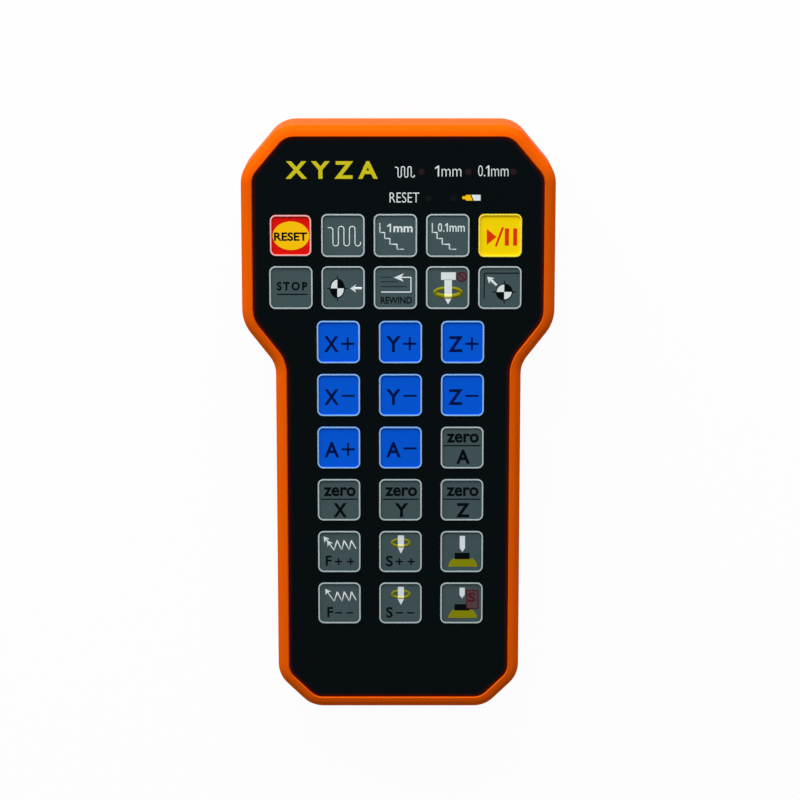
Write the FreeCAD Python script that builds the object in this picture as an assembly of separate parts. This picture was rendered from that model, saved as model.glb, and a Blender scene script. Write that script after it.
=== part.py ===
"""Hand-held remote keypad for a machine tool: an orange two-shell case with a black face sheet,
twenty-eight spring-back keys, five status lamps, a circuit board and two AA cells behind a sliding door.

Units are millimetres. The case lies on its back: +Z points out of the key face, +Y points to the head,
and the origin is the middle of the back face.
"""

import FreeCAD, Part
import math
import os

Vector = FreeCAD.Vector

# Case outline
case_length = 177.0
head_width = 92.5
grip_width = 72.8
head_chamfer_x = 11.6
head_chamfer_y = 13.8
shoulder_y = 30.0
shoulder_drop = 12.6
foot_chamfer_x = 10.1
foot_chamfer_y = 9.8
head_corner_radius = 9.0
shoulder_radius = 11.5
waist_radius = 8.2
foot_corner_radius = 8.5

# Case section
case_height = 27.0
front_height = 11.0
wall = 2.4
back_thickness = 2.2
face_thickness = 2.0
back_edge_radius = 5.0
rim_width = 3.3
rim_crest_width = 1.6
rim_crest_fall = 0.45
rim_fall = 2.0
rim_crest_radius = 2.0
rim_shoulder_radius = 1.2
rim_inner_chamfer = 0.25
lip_thickness = 1.1
lip_height = 1.5
parting_groove_width = 0.5
parting_groove_depth = 0.4
fit_clearance = 0.1

# Stiffening ribs of the rear shell
rib_thickness = 1.2
rib_height = 4.0
cross_ribs_y = (12.0, 40.0, 62.0)
long_rib_x = 18.0
boss_rib_reach = 12.0
boss_rib_top_gap = 3.0

# Face sheet
sheet_recess = 0.6
sheet_thickness = 0.4
sheet_edge_gap = 0.1

# Keys, row by row from the head
HEAD_KEYS = (
    ("reset", "continuous_jog", "step_coarse", "step_fine", "start_pause"),
    ("stop", "go_to_origin", "rewind", "spindle_stop", "corner_origin"),
)
GRIP_KEYS = (
    ("x_plus", "y_plus", "z_plus"),
    ("x_minus", "y_minus", "z_minus"),
    ("a_plus", "a_minus", "zero_a"),
    ("zero_x", "zero_y", "zero_z"),
    ("feed_up", "spindle_up", "tool_set"),
    ("feed_down", "spindle_down", "tool_set_second"),
)
key_size = 12.7
reset_key_size = 12.1
key_corner_radius = 1.7
key_frame_width = 0.5
key_frame_height = 0.3
key_gap = 0.12
key_travel = 0.5
head_row_pitch = 15.5
head_to_grip_pitch = 16.3
row_pitch = 16.0
head_column_pitch = 15.4
head_column_shift = -0.85
grip_column_pitch = 18.4
grip_column_shift = 0.65
key_window = 9.0
key_pocket_gap = 0.15
key_pocket_depth = 0.8

# Switches under the keys
switch_size = 6.0
switch_height = 3.4
switch_total_height = 5.0
plunger_size = 3.0
plunger_depth = 0.5
plunger_gap = 0.1
socket_floor_gap = 0.2

# Status lamps under two rows of windows, placed up from the first key row and in from the head's right side.
# The last value is the share of the sheet's free length that lies above them.
lamp_window_radius = 1.3
lamp_radius = 1.5
lamp_top_gap = 0.2
lamp_flange_radius = 1.6
lamp_flange_height = 1.0
lamp_hole_gap = 0.25
upper_lamp_rise = 18.8
lower_lamp_rise = 10.9
upper_lamp_insets = (39.45, 25.75, 12.55)
lower_lamp_insets = (37.35, 30.05)
sheet_share_above = 0.277

# Circuit board
board_thickness = 1.6
board_edge_gap = 1.8
board_post_radius = 2.5
board_post_hole_radius = 1.0
board_post_hole_depth = 4.0
board_screw_radius = 0.95
board_screw_length = 4.6
board_screw_head_radius = 2.0
board_screw_head_height = 1.1
board_screw_head_round = 0.4
board_hole_clearance = 0.25
head_post_inset = 5.75
grip_post_inset = 6.9
grip_post_row = 3.5

# Case screws and their bosses, placed in from the sides and from the first key row, the shoulder and the foot
case_screw_radius = 1.45
case_screw_reach = 7.0
case_screw_head_radius = 2.8
case_screw_head_height = 2.0
case_screw_head_round = 0.7
driver_recess_width = 0.8
driver_recess_span = 3.0
driver_recess_depth = 1.0
screw_well_radius = 3.4
screw_well_depth = 8.0
rear_boss_radius = 4.6
front_boss_radius = 3.3
screw_clearance = 0.15
thread_clearance = 0.05
front_boss_hole_depth = 9.0
board_boss_gap = 0.5
head_boss_inset, head_boss_rise = 9.25, 12.1
shoulder_boss_inset, shoulder_boss_drop = 13.0, 2.5
foot_boss_inset, foot_boss_rise = 8.4, 17.5

# Battery cells, compartment and door
cell_length = 50.5
cell_button_radius = 2.7
cell_button_height = 1.3
cell_edge_round = 0.8
cell_spacing = 0.7
cell_gap = 0.3
compartment_wall = 1.4
compartment_roof = 1.0
board_roof_gap = 1.1
foot_wall_gap = 0.3
spring_room = 5.3
contact_thickness = 0.4
contact_dimple_height = 0.8
contact_dimple_radius = 2.6
contact_width = 10.0
contact_edge_gap = 1.75
spring_strip_width = 7.0
spring_strip_crown = 2.8
spring_strip_tail = 1.2
terminal_tab_width = 3.0
door_rail_step = 1.1
door_rail_width = 1.6
door_side_gap = 0.2
door_end_height = 10.0
grip_groove_count = 6
grip_groove_pitch = 2.4
grip_groove_width = 1.2
grip_groove_length = 18.0
grip_groove_depth = 0.6
grip_groove_inset = 8.0

# Parts under the circuit board. Each place is an x and a distance down from the head end.
controller_size = (7.5, 12.8, 2.3)
controller_place = (-12.0, 36.5)
controller_pins_per_side = 10
controller_pin_pitch = 1.27
controller_pin_size = (1.4, 0.42, 0.3)
radio_size = (16.0, 12.0, 1.0)
radio_place = (14.0, 22.5)
radio_stand_off = 0.8
radio_strip_width = 1.5
radio_shield_size = (11.0, 9.0, 2.2)
antenna_size = (52.0, 7.0, 0.8)
antenna_drop = 10.5
antenna_post_size = 2.0
antenna_post_x = 20.0
antenna_stand_off = 2.5
crystal_size = (11.0, 4.6, 3.5)
crystal_place = (-12.0, 50.5)
capacitor_radius = 3.15
capacitor_height = 7.0
capacitor_places = ((8.0, 42.5), (17.0, 42.5))
resistor_size = (2.0, 1.25, 0.5)
resistor_pitch = 4.0
resistor_count = 8
resistor_row_place = (-28.0, 28.5)

# Heights worked out from the sizes above
parting_z = case_height - front_height
sheet_top_z = case_height - sheet_recess
sheet_seat_z = sheet_top_z - sheet_thickness
face_inside_z = sheet_seat_z - face_thickness
board_top_z = sheet_seat_z - switch_total_height
board_bottom_z = board_top_z - board_thickness
switch_top_z = board_top_z + switch_height
roof_top_z = board_bottom_z - board_roof_gap
roof_inside_z = roof_top_z - compartment_roof
cell_z = (back_thickness + roof_inside_z) / 2

# Cells that fill the room between the door and the roof, and case screws that reach past the parting
cell_radius = roof_inside_z - cell_gap - cell_z
cell_pitch = 2 * cell_radius + cell_spacing
contact_height = 2 * (cell_radius - contact_edge_gap)
case_screw_length = parting_z + case_screw_reach - screw_well_depth

# Rows of keys and lamps, set between the head and the foot of the face sheet
head_y, foot_y = case_length / 2, -case_length / 2
head_rows, grip_rows = len(HEAD_KEYS), len(GRIP_KEYS)
rows_length = (head_rows - 1) * head_row_pitch + head_to_grip_pitch + (grip_rows - 1) * row_pitch
keypad_length = lamp_window_radius + upper_lamp_rise + rows_length + key_size / 2
free_length = case_length - 2 * rim_width - keypad_length
upper_lamp_y = head_y - rim_width - sheet_share_above * free_length - lamp_window_radius
first_row_y = upper_lamp_y - upper_lamp_rise
lower_lamp_y = first_row_y + lower_lamp_rise
first_grip_row_y = first_row_y - (head_rows - 1) * head_row_pitch - head_to_grip_pitch

# Bosses and board posts on the +X side. The posts stand between two rows of keys.
head_side_x, grip_side_x = head_width / 2, grip_width / 2
head_boss = (head_side_x - head_boss_inset, first_row_y + head_boss_rise)
shoulder_boss = (head_side_x - shoulder_boss_inset, shoulder_y - shoulder_boss_drop)
foot_boss = (grip_side_x - foot_boss_inset, foot_y + foot_boss_rise)
head_board_post = (head_side_x - head_post_inset, first_row_y - head_row_pitch / 2)
grip_board_post = (grip_side_x - grip_post_inset, first_grip_row_y - grip_post_row * row_pitch)

# Battery compartment, worked out along Y from the foot
compartment_foot_y = foot_y + wall + foot_wall_gap + compartment_wall
plate_room = contact_thickness + contact_dimple_height
compartment_length = cell_length + spring_room + plate_room
compartment_head_y = compartment_foot_y + compartment_length
compartment_half = (cell_pitch + 2 * cell_radius) / 2 + cell_gap
door_opening_half = compartment_half
door_half = door_opening_half - door_side_gap
rail_half = door_half + door_rail_width
compartment_outer_half = rail_half + door_side_gap + compartment_wall
door_head_y = compartment_head_y

MIN_RADIUS = 0.05
NUDGE = 1.0
LEVEL_TOLERANCE = 1e-6


def outline_corners():
    """Corners of the case outline as x, y and radius, clockwise from the head. A radius below 0 is hollow."""
    head, grip, half = head_width / 2, grip_width / 2, case_length / 2
    right = [
        (head - head_chamfer_x, half, head_corner_radius),
        (head, half - head_chamfer_y, head_corner_radius),
        (head, shoulder_y, shoulder_radius),
        (grip, shoulder_y - shoulder_drop, -waist_radius),
        (grip, -half + foot_chamfer_y, foot_corner_radius),
        (grip - foot_chamfer_x, -half, foot_corner_radius),
    ]
    left = [(-x, y, r) for x, y, r in reversed(right)]
    return right + left


def crossing(a, along_a, b, along_b):
    """Point where two lines meet, each given by a point and a direction."""
    cross = along_a.x * along_b.y - along_a.y * along_b.x
    step = ((b.x - a.x) * along_b.y - (b.y - a.y) * along_b.x) / cross
    return a + along_a * step


def inset_corners(corners, inset):
    """The same outline moved inwards by inset, with its radii changed to suit."""
    points = [Vector(x, y, 0) for x, y, _ in corners]
    count = len(points)
    lines = []
    for i in range(count):
        along = (points[(i + 1) % count] - points[i]).normalize()
        inwards = Vector(along.y, -along.x, 0)
        lines.append((points[i] + inwards * inset, along))
    moved = []
    for i, (_, _, radius) in enumerate(corners):
        before, after = lines[i - 1], lines[i]
        place = crossing(before[0], before[1], after[0], after[1])
        size = radius - inset
        if radius > 0:
            size = max(size, MIN_RADIUS)
        moved.append((place.x, place.y, size))
    return moved


def rounded_wire(corners, z):
    """Closed wire of straight runs joined by tangent arcs."""
    points = [Vector(x, y, z) for x, y, _ in corners]
    count = len(points)
    arcs = []
    for i in range(count):
        back = (points[i - 1] - points[i]).normalize()
        ahead = (points[(i + 1) % count] - points[i]).normalize()
        radius = abs(corners[i][2])
        half_angle = back.getAngle(ahead) / 2
        reach = radius / math.tan(half_angle)
        middle = (back + ahead).normalize() * (radius / math.sin(half_angle) - radius)
        arcs.append((points[i] + back * reach, points[i] + middle, points[i] + ahead * reach))
    edges = []
    for i in range(count):
        start, through, end = arcs[i]
        edges.append(Part.Arc(start, through, end).toShape())
        edges.append(Part.LineSegment(end, arcs[(i + 1) % count][0]).toShape())
    return Part.Wire(edges)


def case_wire(inset, z):
    return rounded_wire(inset_corners(outline_corners(), inset), z)


def case_slab(inset, bottom, top):
    """Prism of the case outline, moved inwards by inset, between two heights."""
    return Part.Face(case_wire(inset, bottom)).extrude(Vector(0, 0, top - bottom))


def case_ring(outer_inset, inner_inset, bottom, top):
    """Band of the case outline between two insets, with its inner edge cut past both ends."""
    return case_slab(outer_inset, bottom, top).cut(case_slab(inner_inset, bottom - NUDGE, top + NUDGE))


def box(centre_x, centre_y, size_x, size_y, bottom, top):
    corner = Vector(centre_x - size_x / 2, centre_y - size_y / 2, bottom)
    return Part.makeBox(size_x, size_y, top - bottom, corner)


def span_box(half_x, low_y, high_y, bottom, top):
    """Box centred on X that runs between two Y values."""
    return Part.makeBox(2 * half_x, high_y - low_y, top - bottom, Vector(-half_x, low_y, bottom))


def post(x, y, radius, bottom, top):
    return Part.makeCylinder(radius, top - bottom, Vector(x, y, bottom))


def rounded_square(x, y, size, radius, bottom, top):
    half = size / 2
    corners = [(x + sx * half, y + sy * half, radius) for sx, sy in ((1, 1), (1, -1), (-1, -1), (-1, 1))]
    return Part.Face(rounded_wire(corners, bottom)).extrude(Vector(0, 0, top - bottom))


def mirrored(place):
    """The place and its mirror image across the YZ plane."""
    return [place, (-place[0], place[1])]


def boss_places():
    return mirrored(head_boss) + mirrored(shoulder_boss) + mirrored(foot_boss)


def board_post_places():
    return mirrored(head_board_post) + mirrored(grip_board_post)


def lamp_places():
    upper = [(head_side_x - inset, upper_lamp_y) for inset in upper_lamp_insets]
    return upper + [(head_side_x - inset, lower_lamp_y) for inset in lower_lamp_insets]


def key_block(rows, first_y, row_step, column_step, shift):
    """Name, centre and size of each key in one block of rows."""
    places = []
    for row, names in enumerate(rows):
        middle = (len(names) - 1) / 2
        for column, name in enumerate(names):
            size = reset_key_size if name == "reset" else key_size
            places.append((name, shift + (column - middle) * column_step, first_y - row * row_step, size))
    return places


def key_places():
    """All the keys: five to a row on the head, three to a row on the grip."""
    on_head = key_block(HEAD_KEYS, first_row_y, head_row_pitch, head_column_pitch, head_column_shift)
    on_grip = key_block(GRIP_KEYS, first_grip_row_y, row_pitch, grip_column_pitch, grip_column_shift)
    return on_head + on_grip


def under_board(place):
    """Centre of a part under the board, from its x and its distance down from the head end."""
    return place[0], head_y - place[1]


def edges_at(solid, z):
    """Edges of a solid that lie flat at height z."""
    found = []
    for edge in solid.Edges:
        low, high = edge.BoundBox.ZMin, edge.BoundBox.ZMax
        if abs(low - z) < LEVEL_TOLERANCE and abs(high - z) < LEVEL_TOLERANCE:
            found.append(edge)
    return found


def front_blank():
    """Solid outer form of the front half: a wall, a steep slope, and a low slope up to the rim's crest."""
    shoulder_z, crest_z = case_height - rim_fall, case_height - rim_crest_fall
    crest_inset = rim_width - rim_inner_chamfer
    stations = [
        (0, parting_z), (0, shoulder_z), (crest_inset - rim_crest_width, crest_z), (crest_inset, case_height),
    ]
    blank = Part.makeLoft([case_wire(inset, z) for inset, z in stations], True, True)
    blank = blank.makeFillet(rim_shoulder_radius, edges_at(blank, shoulder_z))
    return blank.makeFillet(rim_crest_radius, edges_at(blank, crest_z))


def front_shell():
    """Front half of the case: sloped rim, sunk seat for the face sheet, key windows, bosses and posts."""
    body = front_blank()
    body = body.cut(case_slab(rim_width, sheet_seat_z, case_height + NUDGE))
    bevel_start = case_wire(rim_width, case_height - rim_inner_chamfer)
    bevel_end = case_wire(rim_width - rim_inner_chamfer, case_height)
    body = body.cut(Part.makeLoft([bevel_start, bevel_end], True, True))
    body = body.cut(case_slab(wall, parting_z - NUDGE, face_inside_z))
    rebate = case_slab(
        wall - lip_thickness - fit_clearance, parting_z - NUDGE, parting_z + lip_height + fit_clearance
    )
    body = body.cut(rebate)
    body = body.cut(parting_groove())
    added = [post(x, y, front_boss_radius, parting_z, face_inside_z) for x, y in boss_places()]
    added += [post(x, y, board_post_radius, board_top_z, face_inside_z) for x, y in board_post_places()]
    body = body.fuse(added)
    thread_radius = case_screw_radius + thread_clearance
    hole_top = parting_z + front_boss_hole_depth
    cuts = [post(x, y, thread_radius, parting_z - NUDGE, hole_top) for x, y in boss_places()]
    cuts += [
        post(x, y, board_post_hole_radius, board_top_z - NUDGE, board_top_z + board_post_hole_depth)
        for x, y in board_post_places()
    ]
    pocket_floor_z = sheet_seat_z - key_pocket_depth
    for _, x, y, size in key_places():
        pocket = size + 2 * key_pocket_gap
        cuts.append(box(x, y, key_window, key_window, face_inside_z - NUDGE, sheet_seat_z + NUDGE))
        cuts.append(box(x, y, pocket, pocket, pocket_floor_z, sheet_seat_z + NUDGE))
    cuts += [
        post(x, y, lamp_radius + lamp_hole_gap, face_inside_z - NUDGE, sheet_seat_z + NUDGE)
        for x, y in lamp_places()
    ]
    return body.cut(cuts)


def parting_groove():
    """Shadow line that runs round the case where the shells meet."""
    half = parting_groove_width / 2
    return case_ring(-NUDGE, parting_groove_depth, parting_z - half, parting_z + half)


def rear_blank():
    """Solid outer form of the rear half, which the door's outer face shares."""
    blank = case_slab(0, 0, parting_z)
    return blank.makeFillet(back_edge_radius, edges_at(blank, 0))


def rear_shell():
    """Rear half of the case: tongue for the front shell, screw bosses and wells, and the cell compartment."""
    body = rear_blank().cut(case_slab(wall, back_thickness, parting_z + NUDGE))
    body = body.cut(parting_groove())
    tongue = case_ring(wall - lip_thickness, wall, parting_z - lip_height, parting_z + lip_height)
    compartment = span_box(
        compartment_outer_half,
        compartment_foot_y - compartment_wall,
        compartment_head_y + compartment_wall,
        back_thickness / 2,
        roof_top_z,
    )
    bosses = [post(x, y, rear_boss_radius, back_thickness / 2, parting_z) for x, y in boss_places()]
    body = body.fuse([tongue, compartment] + bosses)
    body = body.fuse(stiffening_ribs())
    cuts = [post(x, y, screw_well_radius, -NUDGE, screw_well_depth) for x, y in boss_places()]
    cuts += [
        post(x, y, case_screw_radius + screw_clearance, -NUDGE, parting_z + NUDGE) for x, y in boss_places()
    ]
    cuts.append(span_box(compartment_half, compartment_foot_y, compartment_head_y, -NUDGE, roof_inside_z))
    cuts += door_channel()
    cuts += [terminal_slot(side) for side in (-1, 1)]
    return body.cut(cuts)


def stiffening_ribs():
    """Low grid of ribs on the floor of the head, and a taller rib from each boss to the side wall."""
    floor, inset = back_thickness / 2, wall / 2
    grid_top = back_thickness + rib_height
    low_y, high_y = compartment_head_y, case_length / 2
    ribs = [span_box(head_width / 2, y, y + rib_thickness, floor, grid_top) for y in cross_ribs_y]
    for side in (-1, 1):
        x, middle_y = side * long_rib_x, (low_y + high_y) / 2
        ribs.append(box(x, middle_y, rib_thickness, high_y - low_y, floor, grid_top))
    for x, y in boss_places():
        reach = math.copysign(boss_rib_reach, x)
        ribs.append(box(x + reach / 2, y, boss_rib_reach, rib_thickness, floor, parting_z - boss_rib_top_gap))
    inside = case_slab(inset, floor, parting_z)
    return [rib.common(inside) for rib in ribs]


def door_channel():
    """Stepped channel that the door slides in, open at the foot, and the notch for the door's end wall."""
    head = door_head_y + door_side_gap
    rail_head = head + door_rail_width
    rail_top = back_thickness + fit_clearance
    opening = span_box(door_opening_half, foot_y - NUDGE, head, -NUDGE, rail_top)
    rails = span_box(rail_half + door_side_gap, foot_y - NUDGE, rail_head, door_rail_step, rail_top)
    notch_foot = foot_y + wall + foot_wall_gap
    notch = span_box(door_opening_half, foot_y - NUDGE, notch_foot, -NUDGE, door_end_height + door_side_gap)
    return [opening, rails, notch]


def battery_door():
    """Door that slides off over the foot: an end wall, rails on its other three sides, and finger grooves."""
    blank = rear_blank()
    plate = blank.common(span_box(door_half, foot_y - NUDGE, door_head_y, 0, back_thickness))
    end = blank.common(span_box(door_half, foot_y - NUDGE, foot_y + wall, 0, door_end_height))
    rail_bottom = door_rail_step + fit_clearance
    rail_head = door_head_y + door_rail_width
    rails = blank.common(span_box(rail_half, foot_y - NUDGE, rail_head, rail_bottom, back_thickness))
    door = plate.fuse([end, rails]).removeSplitter()
    first_groove_y = door_head_y - grip_groove_inset
    cuts = []
    for i in range(grip_groove_count):
        y = first_groove_y - i * grip_groove_pitch
        cuts.append(box(0, y, grip_groove_length, grip_groove_width, -NUDGE, grip_groove_depth))
    return door.cut(cuts)


def face_sheet():
    """Printed black sheet in the front recess, with a window for each key and each lamp."""
    sheet = case_slab(rim_width + sheet_edge_gap, sheet_seat_z, sheet_top_z)
    low, high = sheet_seat_z - NUDGE, sheet_top_z + NUDGE
    radius = key_corner_radius + key_gap
    cuts = [rounded_square(x, y, size + 2 * key_gap, radius, low, high) for _, x, y, size in key_places()]
    cuts += [post(x, y, lamp_window_radius, low, high) for x, y in lamp_places()]
    return sheet.cut(cuts)


def lamp_windows():
    """Dark clear windows in the face sheet, one over each lamp."""
    return [post(x, y, lamp_window_radius, sheet_seat_z, sheet_top_z) for x, y in lamp_places()]


def key(x, y, size):
    """Key pad with its raised frame, and the switch plunger that travels with it."""
    frame_top = sheet_top_z + key_frame_height
    pad = rounded_square(x, y, size, key_corner_radius, sheet_seat_z, frame_top)
    inner_size = size - 2 * key_frame_width
    inner_radius = max(key_corner_radius - key_frame_width, MIN_RADIUS)
    pad = pad.cut(rounded_square(x, y, inner_size, inner_radius, sheet_top_z, frame_top + NUDGE))
    plunger = box(x, y, plunger_size, plunger_size, switch_top_z - plunger_depth, sheet_seat_z)
    return [pad, plunger]


def tact_switches():
    """Switch bodies on the board, each with the square socket that its plunger works in."""
    socket = plunger_size + 2 * plunger_gap
    floor = switch_top_z - plunger_depth - key_travel - socket_floor_gap
    bodies = []
    for _, x, y, _ in key_places():
        body = box(x, y, switch_size, switch_size, board_top_z, switch_top_z)
        bodies.append(body.cut(box(x, y, socket, socket, floor, switch_top_z + NUDGE)))
    return bodies


def status_lamps():
    """Domed lamps with their flanges, standing on the board under the windows."""
    lamps = []
    dome_z = sheet_seat_z - lamp_top_gap - lamp_radius
    for x, y in lamp_places():
        flange = post(x, y, lamp_flange_radius, board_top_z, board_top_z + lamp_flange_height)
        barrel = post(x, y, lamp_radius, board_top_z, dome_z)
        dome = Part.makeSphere(lamp_radius, Vector(x, y, dome_z), Vector(0, 0, 1), 0, 90)
        lamps.append(flange.fuse([barrel, dome]).removeSplitter())
    return lamps


def circuit_board():
    """Board cut to the inside of the case, with room for the bosses and holes for its screws."""
    board = case_slab(wall + board_edge_gap, board_bottom_z, board_top_z)
    low, high = board_bottom_z - NUDGE, board_top_z + NUDGE
    cuts = [post(x, y, front_boss_radius + board_boss_gap, low, high) for x, y in boss_places()]
    cuts += [post(x, y, board_screw_radius + board_hole_clearance, low, high) for x, y in board_post_places()]
    return board.cut(cuts)


def screw(x, y, seat_z, radius, length, head_radius, head_height, head_round):
    """Pan-head screw whose head hangs below seat_z and whose shank points up."""
    head_z = seat_z - head_height
    profile = [
        Vector(0, 0, head_z),
        Vector(head_radius - head_round, 0, head_z),
        Vector(head_radius, 0, head_z + head_round),
        Vector(head_radius, 0, seat_z),
        Vector(radius, 0, seat_z),
        Vector(radius, 0, seat_z + length - radius),
        Vector(0, 0, seat_z + length),
    ]
    face = Part.Face(Part.makePolygon(profile + profile[:1]))
    solid = face.revolve(Vector(0, 0, 0), Vector(0, 0, 1), 360)
    solid.translate(Vector(x, y, 0))
    recess_top = head_z + min(driver_recess_depth, head_height / 2)
    slots = [
        box(x, y, driver_recess_span, driver_recess_width, head_z - NUDGE, recess_top),
        box(x, y, driver_recess_width, driver_recess_span, head_z - NUDGE, recess_top),
    ]
    return solid.cut(slots)


def case_screws():
    return [
        screw(
            x, y, screw_well_depth, case_screw_radius, case_screw_length,
            case_screw_head_radius, case_screw_head_height, case_screw_head_round,
        )
        for x, y in boss_places()
    ]


def board_screws():
    return [
        screw(
            x, y, board_bottom_z, board_screw_radius, board_screw_length,
            board_screw_head_radius, board_screw_head_height, board_screw_head_round,
        )
        for x, y in board_post_places()
    ]


def cell(side):
    """AA cell. The left one has its button to the head, the right one to the foot."""
    can_length = cell_length - cell_button_height
    profile = [
        Vector(0, 0, 0),
        Vector(cell_radius - cell_edge_round, 0, 0),
        Vector(cell_radius, 0, cell_edge_round),
        Vector(cell_radius, 0, can_length - cell_edge_round),
        Vector(cell_radius - cell_edge_round, 0, can_length),
        Vector(cell_button_radius, 0, can_length),
        Vector(cell_button_radius, 0, cell_length),
        Vector(0, 0, cell_length),
    ]
    face = Part.Face(Part.makePolygon(profile + profile[:1]))
    solid = face.revolve(Vector(0, 0, 0), Vector(0, 0, 1), 360)
    x = side * cell_pitch / 2
    if side < 0:
        solid.rotate(Vector(0, 0, 0), Vector(1, 0, 0), -90)
        solid.translate(Vector(x, compartment_head_y - plate_room - cell_length, cell_z))
    else:
        solid.rotate(Vector(0, 0, 0), Vector(1, 0, 0), 90)
        solid.translate(Vector(x, compartment_foot_y + plate_room + cell_length, cell_z))
    return solid


def contact_plate(x, wall_y, inwards, width):
    """Flat contact plate on an end wall of the compartment. inwards is +1 at the foot, -1 at the head."""
    middle_y, half = wall_y + inwards * contact_thickness / 2, contact_height / 2
    return box(x, middle_y, width, contact_thickness, cell_z - half, cell_z + half)


def dimple(x, wall_y, inwards):
    """Raised dimple that meets a cell's button."""
    base = Vector(x, wall_y + inwards * contact_thickness, cell_z)
    return Part.makeCone(
        contact_dimple_radius, contact_dimple_radius / 2, contact_dimple_height, base, Vector(0, inwards, 0)
    )


def spring_strip(x, wall_y, inwards):
    """Bent spring strip that presses on a cell's flat end: it bows out from the plate and back towards it."""
    half, crown = contact_height / 2, spring_strip_crown / 2
    thick, tip, tail = contact_thickness, spring_room, spring_strip_tail
    inside = tip - thick
    outer = [(0, half), (tip, crown), (tip, -crown), (tail, -half)]
    inner = [(tail - thick, -half + thick), (inside, -crown), (inside, crown), (0, half - 2 * thick)]
    left = x - spring_strip_width / 2
    points = [Vector(left, wall_y + inwards * a, cell_z + b) for a, b in outer + inner]
    return Part.Face(Part.makePolygon(points + points[:1])).extrude(Vector(spring_strip_width, 0, 0))


def terminal_tab(side):
    """Tab that rises from a head-end contact to the underside of the board."""
    y = compartment_head_y - contact_thickness / 2
    return box(side * cell_pitch / 2, y, terminal_tab_width, contact_thickness, cell_z, board_bottom_z)


def terminal_slot(side):
    """Slot in the compartment roof for a terminal tab."""
    y = compartment_head_y - contact_thickness / 2
    width = terminal_tab_width + 2 * door_side_gap
    depth = contact_thickness + 2 * fit_clearance
    return box(side * cell_pitch / 2, y, width, depth, roof_inside_z - fit_clearance, roof_top_z + NUDGE)


def bridge_contact():
    """Foot-end contact that joins the two cells: a spring strip for one and a dimple for the other."""
    plate = contact_plate(0, compartment_foot_y, 1, cell_pitch + contact_width)
    spring = spring_strip(-cell_pitch / 2, compartment_foot_y, 1)
    return plate.fuse([spring, dimple(cell_pitch / 2, compartment_foot_y, 1)]).removeSplitter()


def positive_terminal():
    plate = contact_plate(-cell_pitch / 2, compartment_head_y, -1, contact_width)
    parts = [dimple(-cell_pitch / 2, compartment_head_y, -1), terminal_tab(-1)]
    return plate.fuse(parts).removeSplitter()


def negative_terminal():
    plate = contact_plate(cell_pitch / 2, compartment_head_y, -1, contact_width)
    parts = [spring_strip(cell_pitch / 2, compartment_head_y, -1), terminal_tab(1)]
    return plate.fuse(parts).removeSplitter()


def controller_chip():
    """Microcontroller on the underside of the board, with a row of pins down each long side."""
    width, length, height = controller_size
    x, y = under_board(controller_place)
    pin_reach, pin_width, pin_height = controller_pin_size
    body = box(x, y, width, length, board_bottom_z - height, board_bottom_z)
    pins = []
    for side in (-1, 1):
        for i in range(controller_pins_per_side):
            pin_y = y + (i - (controller_pins_per_side - 1) / 2) * controller_pin_pitch
            pin_x = x + side * (width + pin_reach) / 2
            pins.append(box(pin_x, pin_y, pin_reach, pin_width, board_bottom_z - pin_height, board_bottom_z))
    return body.fuse(pins).removeSplitter()


def radio_board():
    """Radio module on two stand-off strips under the board."""
    width, length, height = radio_size
    x, y = under_board(radio_place)
    top = board_bottom_z - radio_stand_off
    board = box(x, y, width, length, top - height, top)
    strip_y = (length - radio_strip_width) / 2
    strips = [box(x, y + side * strip_y, width, radio_strip_width, top, board_bottom_z) for side in (-1, 1)]
    return board.fuse(strips).removeSplitter()


def radio_shield():
    """Folded metal can over the radio module."""
    width, length, height = radio_shield_size
    x, y = under_board(radio_place)
    top = board_bottom_z - radio_stand_off - radio_size[2]
    return box(x, y, width, length, top - height, top)


def antenna_board():
    """Strip antenna held across the head on two posts."""
    width, length, height = antenna_size
    y, top = head_y - antenna_drop, board_bottom_z - antenna_stand_off
    strip = box(0, y, width, length, top - height, top)
    posts = [
        box(side * antenna_post_x, y, antenna_post_size, antenna_post_size, top, board_bottom_z)
        for side in (-1, 1)
    ]
    return strip.fuse(posts).removeSplitter()


def crystal():
    """Clock crystal in its oval can."""
    width, length, height = crystal_size
    x, y = under_board(crystal_place)
    straight, bottom = width - length, board_bottom_z - height
    middle = box(x, y, straight, length, bottom, board_bottom_z)
    ends = [post(x + side * straight / 2, y, length / 2, bottom, board_bottom_z) for side in (-1, 1)]
    return middle.fuse(ends).removeSplitter()


def capacitors():
    return [
        post(x, y, capacitor_radius, board_bottom_z - capacitor_height, board_bottom_z)
        for x, y in map(under_board, capacitor_places)
    ]


def chip_resistors():
    width, length, height = resistor_size
    x, y = under_board(resistor_row_place)
    return [
        box(x, y - i * resistor_pitch, width, length, board_bottom_z - height, board_bottom_z)
        for i in range(resistor_count)
    ]


def export(name, shape):
    """Writes one node, which may be one solid or a list of separate solids."""
    solids = shape if isinstance(shape, list) else [shape]
    found = [solid for item in solids for solid in item.Solids]
    whole = found[0] if len(found) == 1 else Part.makeCompound(found)
    whole.exportStep(os.path.join("parts", name + ".step"))


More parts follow.
